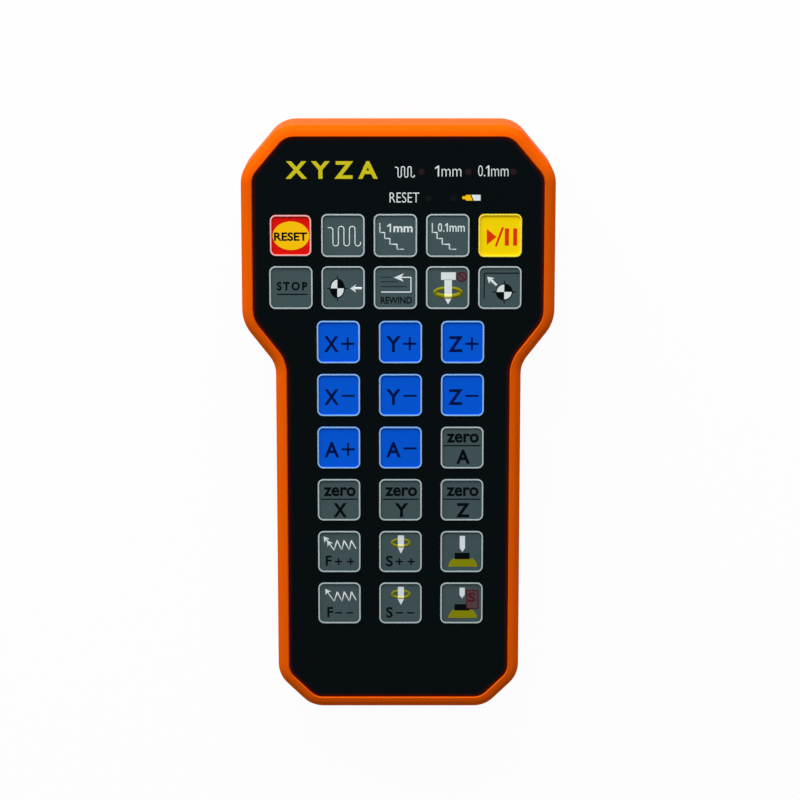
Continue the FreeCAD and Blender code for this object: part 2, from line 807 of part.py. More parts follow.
def main():
    os.makedirs("parts", exist_ok=True)
    nodes = {
        "front_shell": front_shell(),
        "rear_shell": rear_shell(),
        "face_sheet": face_sheet(),
        "lamp_windows": lamp_windows(),
        "battery_door": battery_door(),
        "circuit_board": circuit_board(),
        "tact_switches": tact_switches(),
        "status_lamps": status_lamps(),
        "controller_chip": controller_chip(),
        "radio_board": radio_board(),
        "radio_shield": radio_shield(),
        "antenna_board": antenna_board(),
        "crystal": crystal(),
        "capacitors": capacitors(),
        "chip_resistors": chip_resistors(),
        "battery_cell_left": cell(-1),
        "battery_cell_right": cell(1),
        "bridge_contact": bridge_contact(),
        "positive_terminal": positive_terminal(),
        "negative_terminal": negative_terminal(),
        "case_screws": case_screws(),
        "board_screws": board_screws(),
    }
    for name, x, y, size in key_places():
        nodes["key_" + name] = key(x, y, size)
    for name, shape in nodes.items():
        export(name, shape)


main()
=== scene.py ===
"""Looks of a hand-held remote keypad for a machine tool, dressed around its fixed frame.

The frame is in metres, with +Z out of the key face and +Y to the head. Sizes here are in millimetres unless
a comment says otherwise, and marks are drawn in millimetres around the middle of their own key.
Colours are screen values from 0 to 255.
"""
import math

import bmesh
import bpy
from mathutils import Matrix, Vector


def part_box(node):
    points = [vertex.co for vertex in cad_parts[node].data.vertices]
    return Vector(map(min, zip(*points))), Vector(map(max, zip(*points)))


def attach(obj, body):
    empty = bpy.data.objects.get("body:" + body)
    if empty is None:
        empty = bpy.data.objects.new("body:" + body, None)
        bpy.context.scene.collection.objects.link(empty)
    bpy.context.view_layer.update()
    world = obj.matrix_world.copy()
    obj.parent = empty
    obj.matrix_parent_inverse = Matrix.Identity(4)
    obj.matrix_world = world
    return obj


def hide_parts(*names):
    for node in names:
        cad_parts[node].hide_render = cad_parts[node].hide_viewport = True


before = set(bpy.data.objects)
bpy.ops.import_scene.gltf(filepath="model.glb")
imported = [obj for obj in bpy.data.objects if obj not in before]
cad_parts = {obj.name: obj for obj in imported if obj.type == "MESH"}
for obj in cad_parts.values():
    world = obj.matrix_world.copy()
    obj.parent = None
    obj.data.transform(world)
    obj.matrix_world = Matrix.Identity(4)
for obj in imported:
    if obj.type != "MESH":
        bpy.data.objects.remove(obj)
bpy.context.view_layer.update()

MM = 0.001

# Distance at which two points are one: in metres in the frame, and in millimetres on a mark being drawn
SAME_PLACE = 1e-7
SAME_MARK = 1e-5

# Camera at the photograph's viewing angle: distances in metres, lens and sensor in millimetres
CAMERA_PLACE = (0.0005, 0.1686, 0.8252)
CAMERA_TARGET = (0.0005, 0.00685, 0.0264)
CAMERA_LENS = 123.3
CAMERA_SENSOR = 36.0
CAMERA_NEAREST = 0.01

# Soft box past the head: place and size in metres, and the share of white that it adds on a flat face
SOFTBOX_PLACE = (-0.28, 0.96, 0.44)
SOFTBOX_SIZE = (1.3, 0.9)
SOFTBOX_SHARE = 0.74

# Even light from all round
WORLD_LIGHT = 0.28
WHITE = (1.0, 1.0, 1.0, 1.0)

# Floor: its size in metres, its colour, and the share of plain white that the eye sees on it
FLOOR_SIZE = 6.0
FLOOR_COLOUR = (238, 238, 238)
FLOOR_WHITENING = 0.96

# How far the floor lies below the part, and how long a ray has to be to meet it
FLOOR_DROP = 0.02
FLOOR_CLEARANCE = 5.0

# Pale border of each key: a thin ridge along the outer edge of the frame that is moulded round the pad
KEY_FRAME_HEIGHT = 0.3
KEY_CORNER_RADIUS = 1.7
BORDER_RISE = 0.06
BORDER_FOOT_WIDTH = 0.44
BORDER_CROWN_WIDTH = 0.38
BORDER_OVERHANG = 0.02
BORDER_EDGE_RADIUS = 0.03
BORDER_BED = 0.05

# Ends of the rear shell's ribs: heights of their foot and of their meeting with the rounded back edge
RIB_FOOT = 1.1
RIB_MEETING = 1.75

# How far across a rib's foot may lie from that meeting
RIB_END_REACH = 0.4

# Painted reflection of the rim: the dark red light that the rim throws on the edge of the face sheet, painted
# as colour on a thin band
RIM_REFLECTION_WIDTH = 1.5
RIM_REFLECTION_STEPS = 5
RIM_REFLECTION_FADE = 3
RIM_REFLECTION_COLOUR = (85, 12, 0)

# Mirror-like shine of the plastics. The photograph shows very little of it.
CASE_SHINE = 0.003
FILM_SHINE = 0.025
KEY_SHINE = 0.06
INK_SHINE = 0.02

# Ink: how far it beds into the surface, stands above it, and rises for each layer over another
INK_BED = 0.01
INK_THICKNESS = 0.03
INK_STEP = 0.012

# Width of the finest printed lines
FINE_PEN = 0.3

# Screen colours of the inks
INK_COLOURS = {
    "white": (225, 235, 235),
    "black": (3, 8, 9),
    "navy": (0, 18, 68),
    "red": (228, 52, 6),
    "sun_yellow": (255, 198, 12),
    "print_yellow": (205, 195, 30),
    "olive": (138, 138, 12),
    "pale_olive": (226, 222, 140),
    "dark_red": (86, 24, 34),
    "dull_red": (86, 66, 70),
}

# Screen colours of the face film, and of the keys and their borders by slot
FILM_COLOUR = (4, 10, 13)
KEY_COLOURS = {
    "key_grey": ((67, 85, 88), (182, 196, 197)),
    "key_blue": ((0, 89, 219), (142, 192, 242)),
    "key_red": ((222, 18, 6), (240, 186, 184)),
    "key_yellow": ((252, 218, 0), (252, 232, 74)),
}

FLOAT = "NodeSocketFloat"
WHOLE = "NodeSocketInt"
VECTOR = "NodeSocketVector"
COLOUR = "NodeSocketColor"
GEOMETRY = "NodeSocketGeometry"
MATERIAL = "NodeSocketMaterial"


def linear(colour):
    """Scene-linear colour with full alpha, from screen values."""
    shares = [value / 255 for value in colour]
    return tuple(s / 12.92 if s <= 0.04045 else ((s + 0.055) / 1.055) ** 2.4 for s in shares) + (1.0,)


def new_tree(name, kind, inputs, outputs):
    """Node tree with named inputs and outputs, given back with the sockets of its two ends."""
    tree = bpy.data.node_groups.new(name, kind)
    for label, socket in inputs.items():
        tree.interface.new_socket(name=label, in_out="INPUT", socket_type=socket)
    for label, socket in outputs.items():
        tree.interface.new_socket(name=label, in_out="OUTPUT", socket_type=socket)
    return tree, tree.nodes.new("NodeGroupInput").outputs, tree.nodes.new("NodeGroupOutput").inputs


def add(tree, kind, inputs=None, **settings):
    """Adds a node with its settings, joins or sets its inputs, and gives back its outputs."""
    node = tree.nodes.new(kind)
    for name, value in settings.items():
        setattr(node, name, value)
    for name, value in (inputs or {}).items():
        if isinstance(value, bpy.types.NodeSocket):
            tree.links.new(value, node.inputs[name])
        else:
            node.inputs[name].default_value = value
    return node.outputs


def calculate(tree, operation, *values):
    """Output of a Math node on numbers or sockets."""
    return add(tree, "ShaderNodeMath", dict(enumerate(values)), operation=operation)["Value"]


def object_place(tree):
    return add(tree, "ShaderNodeTexCoord")["Object"]


def noise(tree, place, size):
    """Noise from 0 to 1 whose bumps are about size millimetres apart. Size may be a socket."""
    detail = 2.0
    scale = calculate(tree, "DIVIDE", 1 / MM, size)
    return add(tree, "ShaderNodeTexNoise", {"Vector": place, "Scale": scale, "Detail": detail})["Fac"]


def drifted(tree, middle, drift, amount):
    """A value that wanders around its middle by amount, as drift goes from 0 to 1."""
    swing = calculate(tree, "MULTIPLY", calculate(tree, "SUBTRACT", drift, 0.5), amount)
    return calculate(tree, "ADD", middle, swing)


def shaded(tree, colour, factor):
    """Colour made lighter or darker by a factor."""
    return add(tree, "ShaderNodeHueSaturation", {"Color": colour, "Value": factor})["Color"]


def blended(tree, factor, low, high):
    """Colour that goes from low to high as the factor goes from 0 to 1."""
    return add(tree, "ShaderNodeMix", {0: factor, 6: low, 7: high}, data_type="RGBA")[2]


def bumped(tree, height, depth, distance):
    """Normal from a height, with its strength and its depth in millimetres."""
    inputs = {"Height": height, "Strength": depth, "Distance": distance * MM}
    return add(tree, "ShaderNodeBump", inputs)["Normal"]


SURFACE_OUTPUTS = {"Colour": COLOUR, "Roughness": FLOAT, "Normal": VECTOR}


def moulded_grain():
    """Fine spark-eroded texture, with the slow drift in shade and gloss that moulding leaves."""
    drift_size, gloss_size, grain_height = 22.0, 6.0, 0.02
    inputs = {
        "Colour": COLOUR, "Shade Drift": FLOAT, "Grain Size": FLOAT,
        "Grain Depth": FLOAT, "Roughness": FLOAT, "Gloss Drift": FLOAT,
    }
    tree, given, result = new_tree("Moulded grain", "ShaderNodeTree", inputs, SURFACE_OUTPUTS)
    place = object_place(tree)
    shade = drifted(tree, 1.0, noise(tree, place, drift_size), given["Shade Drift"])
    gloss = drifted(tree, given["Roughness"], noise(tree, place, gloss_size), given["Gloss Drift"])
    grain = noise(tree, place, given["Grain Size"])
    tree.links.new(shaded(tree, given["Colour"], shade), result["Colour"])
    tree.links.new(gloss, result["Roughness"])
    tree.links.new(bumped(tree, grain, given["Grain Depth"], grain_height), result["Normal"])
    return tree


def screen_print():
    """Ink squeezed through a mesh: faint thin spots and a slightly uneven skin."""
    spot_size, gloss_drift = 0.35, 0.1
    skin_size, skin_depth, skin_height = 0.12, 0.4, 0.008
    inputs = {"Colour": COLOUR, "Thin Spots": FLOAT, "Roughness": FLOAT}
    tree, given, result = new_tree("Screen print", "ShaderNodeTree", inputs, SURFACE_OUTPUTS)
    place = object_place(tree)
    spots = noise(tree, place, spot_size)
    shade = drifted(tree, 1.0, spots, given["Thin Spots"])
    tree.links.new(shaded(tree, given["Colour"], shade), result["Colour"])
    tree.links.new(drifted(tree, given["Roughness"], spots, gloss_drift), result["Roughness"])
    tree.links.new(bumped(tree, noise(tree, place, skin_size), skin_depth, skin_height), result["Normal"])
    return tree


def drawn_metal():
    """Plated metal with fine draw lines along one way and a little dulling."""
    line_size, line_height, dull_size = 0.08, 0.01, 3.0
    shade_drift, gloss_drift = 0.15, 0.15
    inputs = {"Colour": COLOUR, "Stretch": VECTOR, "Line Depth": FLOAT, "Roughness": FLOAT}
    tree, given, result = new_tree("Drawn metal", "ShaderNodeTree", inputs, SURFACE_OUTPUTS)
    place = object_place(tree)
    along = add(tree, "ShaderNodeVectorMath", {0: place, 1: given["Stretch"]}, operation="MULTIPLY")["Vector"]
    lines = noise(tree, along, line_size)
    dull = noise(tree, place, dull_size)
    shade = drifted(tree, 1.0, dull, shade_drift)
    tree.links.new(shaded(tree, given["Colour"], shade), result["Colour"])
    tree.links.new(drifted(tree, given["Roughness"], lines, gloss_drift), result["Roughness"])
    tree.links.new(bumped(tree, lines, given["Line Depth"], line_height), result["Normal"])
    return tree


MOULDED = moulded_grain()
PRINTED = screen_print()
DRAWN = drawn_metal()


def surface(name, group, values, **shader_values):
    """Material whose colour, roughness and normal come from a group, and the rest from the shader itself."""
    material = bpy.data.materials.new(name)
    material.use_nodes = True
    tree = material.node_tree
    shader = tree.nodes["Principled BSDF"]
    made = add(tree, "ShaderNodeGroup", values, node_tree=group)
    tree.links.new(made["Colour"], shader.inputs["Base Color"])
    tree.links.new(made["Roughness"], shader.inputs["Roughness"])
    tree.links.new(made["Normal"], shader.inputs["Normal"])
    for label, value in shader_values.items():
        shader.inputs[label.replace("_", " ")].default_value = value
    return material


def moulded(
    name, colour, grain_size=0.25, grain_depth=0.35, roughness=0.42, shade_drift=0.05, shine=0.3,
    **shader_values,
):
    """Moulded plastic of one colour."""
    gloss_drift = 0.08
    values = {
        "Colour": linear(colour),
        "Shade Drift": shade_drift,
        "Grain Size": grain_size,
        "Grain Depth": grain_depth,
        "Roughness": roughness,
        "Gloss Drift": gloss_drift,
    }
    return surface(name, MOULDED, values, Specular_IOR_Level=shine, **shader_values)


def ink(name, colour):
    thin_spots, roughness = 0.12, 0.5
    values = {"Colour": linear(colour), "Thin Spots": thin_spots, "Roughness": roughness}
    return surface(name, PRINTED, values, Specular_IOR_Level=INK_SHINE)


def metal(name, colour, stretch, roughness=0.3):
    """Plated metal whose draw lines lie along the way with the smallest stretch."""
    line_depth = 0.5
    values = {"Colour": linear(colour), "Stretch": stretch, "Line Depth": line_depth, "Roughness": roughness}
    return surface(name, DRAWN, values, Metallic=1.0)


def solids(node):
    """Lowest and highest corner of each separate solid in a node of the frame, from left to right."""
    shape = bmesh.new()
    shape.from_mesh(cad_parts[node].data)
    bmesh.ops.remove_doubles(shape, verts=shape.verts, dist=SAME_PLACE)
    left = set(shape.verts)
    boxes = []
    while left:
        start = left.pop()
        group, waiting = [start], [start]
        while waiting:
            for edge in waiting.pop().link_edges:
                for vertex in edge.verts:
                    if vertex in left:
                        left.remove(vertex)
                        group.append(vertex)
                        waiting.append(vertex)
        low = Vector(min(v.co[i] for v in group) for i in range(3))
        high = Vector(max(v.co[i] for v in group) for i in range(3))
        boxes.append((low, high))
    shape.free()
    return sorted(boxes, key=lambda box: tuple(box[0]))


def lamp_tint():
    """Smoked windows of the lamps, soft at the rim: dark red in the upper row, grey-green in the lower."""
    red, green, black = (40, 26, 31), (13, 22, 22), (5, 9, 11)
    glow_share, rim_share = 0.45, 0.95
    windows = solids("lamp_windows")
    middles = [(low + high) / 2 for low, high in windows]
    row_split = sum(middle.y for middle in middles) / len(middles)
    radius = (windows[0][1].x - windows[0][0].x) / 2
    material = moulded("smoked lamp window", black, roughness=0.3, shine=FILM_SHINE)
    tree = material.node_tree
    shader = tree.nodes["Principled BSDF"]
    place = object_place(tree)
    nearest = None
    for middle in middles:
        inputs = {0: place, 1: middle}
        distance = add(tree, "ShaderNodeVectorMath", inputs, operation="DISTANCE")["Value"]
        nearest = distance if nearest is None else calculate(tree, "MINIMUM", nearest, distance)
    inner, outer = radius * glow_share, radius * rim_share
    ramp = {"Value": nearest, "From Min": inner, "From Max": outer, "To Min": 1.0, "To Max": 0.0}
    glow = add(tree, "ShaderNodeMapRange", ramp, interpolation_type="SMOOTHSTEP")["Result"]
    height = add(tree, "ShaderNodeSeparateXYZ", {"Vector": place})["Y"]
    upper = calculate(tree, "GREATER_THAN", height, row_split)
    tint = blended(tree, upper, linear(green), linear(red))
    tree.links.new(blended(tree, glow, linear(black), tint), shader.inputs["Base Color"])
    return material


def film_rim_reflection():
    """Black film that turns dark red where the tint attribute rises to 1: a painted reflection of the orange
    rim.
    """
    material = moulded("film with painted rim reflection", FILM_COLOUR, grain_size=0.16, roughness=0.38, shine=FILM_SHINE)
    tree = material.node_tree
    tint = add(tree, "ShaderNodeAttribute", attribute_name="tint")["Fac"]
    # Painted reflection: the film's black blended to the rim's dark red
    colour = blended(tree, tint, linear(FILM_COLOUR), linear(RIM_REFLECTION_COLOUR))
    tree.links.new(colour, tree.nodes["Principled BSDF"].inputs["Base Color"])
    return material


def board_green():
    """Solder mask over a maze of copper tracks."""
    track_size, track_width, track_depth, track_height = 1.6, 0.12, 0.3, 0.03
    mask, covered_copper = (10, 78, 40), (46, 130, 70)
    material = moulded("green circuit board", mask, roughness=0.3, grain_depth=0.1)
    tree = material.node_tree
    shader = tree.nodes["Principled BSDF"]
    inputs = {"Vector": object_place(tree), "Scale": 1 / (track_size * MM)}
    edges = add(tree, "ShaderNodeTexVoronoi", inputs, feature="DISTANCE_TO_EDGE")["Distance"]
    track = calculate(tree, "LESS_THAN", edges, track_width)
    tint = blended(tree, track, linear(mask), linear(covered_copper))
    tree.links.new(tint, shader.inputs["Base Color"])
    tree.links.new(bumped(tree, track, track_depth, track_height), shader.inputs["Normal"])
    return material


def cell_wrap():
    """Printed sleeve of a cell: a dark body, a copper band at the head end, and bare metal ends."""
    band, end_metal = 0.24, 0.6
    sleeve, copper, steel = (28, 30, 34), (190, 112, 52), (196, 196, 190)
    material = moulded("cell sleeve", sleeve, grain_depth=0.1, roughness=0.3)
    tree = material.node_tree
    shader = tree.nodes["Principled BSDF"]
    low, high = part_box("battery_cell_left")
    length = high.y - low.y
    height = add(tree, "ShaderNodeSeparateXYZ", {"Vector": object_place(tree)})["Y"]
    from_foot = calculate(tree, "SUBTRACT", height, low.y)
    in_band = calculate(tree, "GREATER_THAN", from_foot, length * (1 - band))
    tint = blended(tree, in_band, linear(sleeve), linear(copper))
    foot_end = calculate(tree, "LESS_THAN", from_foot, end_metal * MM)
    head_end = calculate(tree, "GREATER_THAN", from_foot, length - end_metal * MM)
    bare = calculate(tree, "MAXIMUM", foot_end, head_end)
    tree.links.new(blended(tree, bare, tint, linear(steel)), shader.inputs["Base Color"])
    tree.links.new(bare, shader.inputs["Metallic"])
    return material


FINISHES = {
    "case_orange": moulded("orange moulded case", (232, 91, 3), roughness=0.4, shine=CASE_SHINE),
    "face_black": moulded("black face film", FILM_COLOUR, grain_size=0.16, roughness=0.38, shine=FILM_SHINE),
    "lamp_tint": lamp_tint(),
    "lamp_lens": moulded(
        "clear lamp", (190, 60, 55), roughness=0.1, grain_depth=0.02, Transmission_Weight=0.5,
    ),
    "board_green": board_green(),
    "switch_black": moulded("switch body", (24, 24, 26), roughness=0.5),
    "chip_black": moulded("chip body", (30, 30, 32), grain_size=0.1, roughness=0.6),
    "capacitor_sleeve": moulded("capacitor sleeve", (26, 34, 60), roughness=0.35, grain_depth=0.1),
    "cell_wrap": cell_wrap(),
    "plated_steel": metal("plated spring steel", (196, 194, 186), (1.0, 0.05, 1.0)),
    "screw_steel": metal("zinc plated screw", (176, 178, 182), (1.0, 1.0, 0.1), roughness=0.35),
}
BORDERS = {}
for slot, (pad_colour, border_colour) in KEY_COLOURS.items():
    name = slot.replace("_", " ")
    FINISHES[slot] = moulded(name, pad_colour, grain_size=0.18, roughness=0.45, shine=KEY_SHINE)
    BORDERS[slot] = moulded(name + " border", border_colour, grain_depth=0.15, shine=KEY_SHINE)
INKS = {name: ink(name.replace("_", " ") + " ink", colour) for name, colour in INK_COLOURS.items()}


def dress_frame():
    """Gives each node of the frame the finish of its slot, and gives back the slots."""
    slots = {node: piece.data.materials[0].name for node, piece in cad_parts.items()}
    for node, slot in slots.items():
        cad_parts[node].material_slots[0].material = FINISHES[slot]
    return slots


SLOTS = dress_frame()


def rounded_curve(tree, curve, radius, steps):
    inputs = {"Curve": curve, "Count": steps, "Radius": radius, "Limit Radius": True}
    return add(tree, "GeometryNodeFilletCurve", inputs, mode="POLY")["Curve"]


def finish_tree(tree, mesh, material, result):
    """Ends a tree with real geometry that has its material."""
    real = add(tree, "GeometryNodeRealizeInstances", {"Geometry": mesh})["Geometry"]
    dressed = add(tree, "GeometryNodeSetMaterial", {"Geometry": real, "Material": material})["Geometry"]
    tree.links.new(dressed, result["Geometry"])
    return tree


def printed_line_tree():
    """Flat ribbon of ink along each line of the carrier, with its corners rounded."""
    inputs = {
        "Geometry": GEOMETRY, "Width": FLOAT, "Thickness": FLOAT,
        "Corner Radius": FLOAT, "Corner Steps": WHOLE, "Material": MATERIAL,
    }
    tree, given, result = new_tree("Printed line", "GeometryNodeTree", inputs, {"Geometry": GEOMETRY})
    curve = add(tree, "GeometryNodeMeshToCurve", {"Mesh": given["Geometry"]})["Curve"]
    rounded = rounded_curve(tree, curve, given["Corner Radius"], given["Corner Steps"])
    flat = add(tree, "GeometryNodeSetCurveNormal", {"Curve": rounded}, mode="Z_UP")["Curve"]
    sizes = {"Width": given["Width"], "Height": given["Thickness"]}
    section = add(tree, "GeometryNodeCurvePrimitiveQuadrilateral", sizes)["Curve"]
    sweep = {"Curve": flat, "Profile Curve": section, "Fill Caps": True}
    ribbon = add(tree, "GeometryNodeCurveToMesh", sweep)["Mesh"]
    return finish_tree(tree, ribbon, given["Material"], result)


def key_border_tree():
    """Rounded square ridge with sloping sides and soft edges, for the raised border of a key."""
    inputs = {
        "Geometry": GEOMETRY, "Size": FLOAT, "Corner Radius": FLOAT, "Foot Width": FLOAT,
        "Crown Width": FLOAT, "Height": FLOAT, "Edge Radius": FLOAT, "Material": MATERIAL,
    }
    corner_steps, edge_steps = 8, 3
    tree, given, result = new_tree("Key border", "GeometryNodeTree", inputs, {"Geometry": GEOMETRY})
    square = {"Width": given["Size"], "Height": given["Size"]}
    path = add(tree, "GeometryNodeCurvePrimitiveQuadrilateral", square)["Curve"]
    path = rounded_curve(tree, path, given["Corner Radius"], corner_steps)
    path = add(tree, "GeometryNodeSetCurveNormal", {"Curve": path}, mode="Z_UP")["Curve"]
    slopes = {
        "Height": given["Height"], "Bottom Width": given["Foot Width"],
        "Top Width": given["Crown Width"], "Offset": 0.0,
    }
    section = add(tree, "GeometryNodeCurvePrimitiveQuadrilateral", slopes, mode="TRAPEZOID")["Curve"]
    section = rounded_curve(tree, section, given["Edge Radius"], edge_steps)
    ridge = add(tree, "GeometryNodeCurveToMesh", {"Curve": path, "Profile Curve": section})["Mesh"]
    return finish_tree(tree, ridge, given["Material"], result)


PRINTED_LINE = printed_line_tree()
KEY_BORDER = key_border_tree()


def grow(tree, carrier, values):
    """Plain mesh that a Geometry Nodes tree makes on a carrier mesh with these values."""
    holder = bpy.data.objects.new(tree.name, carrier)
    bpy.context.scene.collection.objects.link(holder)
    modifier = holder.modifiers.new(tree.name, "NODES")
    modifier.node_group = tree
    for socket in tree.interface.items_tree:
        if socket.in_out == "INPUT" and socket.name in values:
            modifier[socket.identifier] = values[socket.name]
    graph = bpy.context.evaluated_depsgraph_get()
    made = bpy.data.meshes.new_from_object(holder.evaluated_get(graph))
    bpy.data.objects.remove(holder)
    bpy.data.meshes.remove(carrier)
    return made


def close(mesh, merge_distance):
    """Joins the points of a mesh that lie on each other, and turns its faces outwards."""
    shape = bmesh.new()
    shape.from_mesh(mesh)
    bmesh.ops.remove_doubles(shape, verts=shape.verts, dist=merge_distance)
    bmesh.ops.recalc_face_normals(shape, faces=shape.faces)
    shape.to_mesh(mesh)
    shape.free()


def place_piece(name, mesh, body):
    """Makes a piece of a mesh that is already in its place, riding on a body."""
    piece = bpy.data.objects.new(name, mesh)
    bpy.context.scene.collection.objects.link(piece)
    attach(piece, body)
    return piece


def oval(centre, half, start=0, end=360, steps=36):
    """Points of an oval arc between two angles in degrees. A whole turn doesn't repeat its first point."""
    whole = end - start == 360
    count = steps if whole else steps + 1
    angles = [math.radians(start + (end - start) * i / steps) for i in range(count)]
    return [(centre[0] + half[0] * math.cos(a), centre[1] + half[1] * math.sin(a)) for a in angles]


class Marks:
    """Thin closed pieces of ink on one flat place, gathered in one mesh around its middle."""

    def __init__(self, name):
        self.name = name
        self.shape = bmesh.new()
        self.inks = []

    def take(self, mesh, ink_name, layer):
        """Adds a mesh made around height 0, as one layer of ink."""
        if ink_name not in self.inks:
            self.inks.append(ink_name)
        middle = (INK_THICKNESS - INK_BED) / 2 + layer * INK_STEP
        close(mesh, SAME_MARK)
        mesh.transform(Matrix.Translation((0, 0, middle)))
        first = len(self.shape.faces)
        self.shape.from_mesh(mesh)
        bpy.data.meshes.remove(mesh)
        self.shape.faces.ensure_lookup_table()
        for face in self.shape.faces[first:]:
            face.material_index = self.inks.index(ink_name)

    def fill(self, points, ink_name, layer=0):
        """Filled outline."""
        half = (INK_THICKNESS + INK_BED) / 2
        count = len(points)
        corners = [(x, y, -half) for x, y in points] + [(x, y, half) for x, y in points]
        sides = [(i, (i + 1) % count, (i + 1) % count + count, i + count) for i in range(count)]
        faces = sides + [tuple(reversed(range(count))), tuple(range(count, 2 * count))]
        mesh = bpy.data.meshes.new(self.name)
        mesh.from_pydata(corners, [], faces)
        self.take(mesh, ink_name, layer)

    def bar(self, left, bottom, right, top, ink_name, layer=0):
        self.fill([(left, bottom), (right, bottom), (right, top), (left, top)], ink_name, layer)

    def line(self, points, width, ink_name, layer=0, closed=False, corner=0.0):
        """Ribbon of ink along a line of points, with the corner radius given or in keeping with its width."""
        corner_share, corner_steps = 0.55, 5
        count = len(points)
        edges = [(i, i + 1) for i in range(count - 1)]
        if closed:
            edges.append((count - 1, 0))
        carrier = bpy.data.meshes.new(self.name)
        carrier.from_pydata([(x, y, 0) for x, y in points], edges, [])
        values = {
            "Width": width,
            "Thickness": INK_THICKNESS + INK_BED,
            "Corner Radius": corner or width * corner_share,
            "Corner Steps": corner_steps,
            "Material": INKS[ink_name],
        }
        self.take(grow(PRINTED_LINE, carrier, values), ink_name, layer)

    def arrow(self, points, width, head_length, head_half, ink_name, layer=0, corner=0.0):
        """Line that ends in a barbed head at its last point. The head lies a little above the line."""
        notch, head_rise = 0.72, 0.5
        tip, before = Vector(points[-1]), Vector(points[-2])
        along = (tip - before).normalized()
        across = Vector((-along.y, along.x)) * head_half
        base = tip - along * head_length
        neck = tip - along * head_length * notch
        self.fill([tip, base + across, neck, base - across], ink_name, layer + head_rise)
        self.line(points[:-1] + [tuple(neck + along * width / 2)], width, ink_name, layer, corner=corner)

    def words(self, text, centre, size, ink_name, layer=0, weight=0.0, spacing=1.0):
        """Plain lettering, fitted to a width and a height around its centre."""
        curve_steps, depth = 4, 1.0
        font = bpy.data.curves.new(self.name, "FONT")
        font.body = text
        font.offset = weight
        font.space_character = spacing
        font.resolution_u = curve_steps
        font.extrude = depth
        holder = bpy.data.objects.new(self.name, font)
        mesh = bpy.data.meshes.new_from_object(holder)
        bpy.data.objects.remove(holder)
        bpy.data.curves.remove(font)
        low = Vector(min(v.co[i] for v in mesh.vertices) for i in range(2))
        high = Vector(max(v.co[i] for v in mesh.vertices) for i in range(2))
        middle, extent = (low + high) / 2, high - low
        half = (INK_THICKNESS + INK_BED) / 2
        fit = Matrix.Diagonal((size[0] / extent.x, size[1] / extent.y, half / depth, 1))
        mesh.transform(fit @ Matrix.Translation((-middle.x, -middle.y, 0)))
        mesh.transform(Matrix.Translation((centre[0], centre[1], 0)))
        self.take(mesh, ink_name, layer)

    def lay(self, body, centre):
        """Puts the marks on their surface, whose middle is given in metres, and lets them ride on a body."""
        mesh = bpy.data.meshes.new(self.name)
        self.shape.to_mesh(mesh)
        self.shape.free()
        mesh.transform(Matrix.Translation(centre) @ Matrix.Scale(MM, 4))
        for ink_name in self.inks:
            mesh.materials.append(INKS[ink_name])
        place_piece(self.name, mesh, body)


def wave(marks, centre, width, height, line_width, ink_name):
    """Round-topped wave that starts on a short flat, for continuous travel."""
    legs, lead, start_drop, end_rise, roundness = 6, 0.155, 0.06, 0.22, 0.48
    left, low = centre[0] - width / 2, centre[1] - height / 2
    first_leg, high = left + width * lead, centre[1] + height / 2
    pitch = (left + width - first_leg) / (legs - 1)
    points = [(left, high - height * start_drop)]
    for leg in range(legs):
        x = first_leg + leg * pitch
        ends = [high, low] if leg % 2 == 0 else [low, high]
        points += [(x, ends[0]), (x, ends[1])]
    points[1] = (first_leg, points[0][1])
    points[-1] = (points[-1][0], low + height * end_rise)
    marks.line(points, line_width, ink_name, corner=pitch * roundness)


def datum_target(marks, centre, half, reach):
    """Round datum mark: opposite quarters in white and black, inside crossed lines."""
    x, y = centre
    arc_steps = 10
    for turn, ink_name in enumerate(("black", "white", "black", "white")):
        arc = oval(centre, half, turn * 90, turn * 90 + 90, arc_steps)
        marks.fill([centre] + arc, ink_name, 1)
    marks.line(oval(centre, half), FINE_PEN, "black", 2, closed=True)
    marks.line([(x - reach[0], y), (x + reach[0], y)], FINE_PEN, "black")
    marks.line([(x, y - reach[1]), (x, y + reach[1])], FINE_PEN, "black")


def cutting_tool(marks, left, right, top, shoulder, tip):
    """Round tool with a pointed end."""
    middle = (left + right) / 2
    marks.fill([(left, top), (left, shoulder), (middle, tip), (right, shoulder), (right, top)], "white", 1)


def turning_ring(marks, centre, half, back_width, front_width, tool_half):
    """Ring that passes behind the tool at the top and in front of it at the bottom."""
    half_turn_steps, crossing_steps = 24, 8
    marks.line(oval(centre, half, 0, 180, half_turn_steps), back_width, "olive")
    marks.line(oval(centre, half, 180, 360, half_turn_steps), front_width, "olive")
    crossing = math.degrees(math.asin(tool_half / half[0]))
    front = oval(centre, half, 270 - crossing, 270 + crossing, crossing_steps)
    marks.line(front, front_width, "pale_olive", 2)


def plus(marks, centre, size, width, ink_name):
    """Plus sign as one twelve-cornered outline."""
    long, short = size / 2, width / 2
    arm = [Vector((short, short)), Vector((short, long)), Vector((-short, long))]
    quarters = [Matrix.Rotation(math.radians(90 * turn), 2) for turn in range(4)]
    marks.fill([quarter @ corner + Vector(centre) for quarter in quarters for corner in arm], ink_name)


def minus(marks, centre, size, width, ink_name):
    x, y = centre
    marks.line([(x - size / 2, y), (x + size / 2, y)], width, ink_name)


def one(marks, left, right, bottom, top, stroke, ink_name):
    """Numeral 1 with its flag, whose points lie at multiples of the stroke."""
    shoulder, flag_drop, flag_end, armpit = (stroke * share for share in (0.8, 1.6, 2.6, 1.5))
    outline = [
        (right - stroke, bottom), (right, bottom), (right, top), (right - shoulder, top),
        (left, top - flag_drop), (left, top - flag_end), (right - stroke, top - armpit),
    ]
    marks.fill(outline, ink_name)


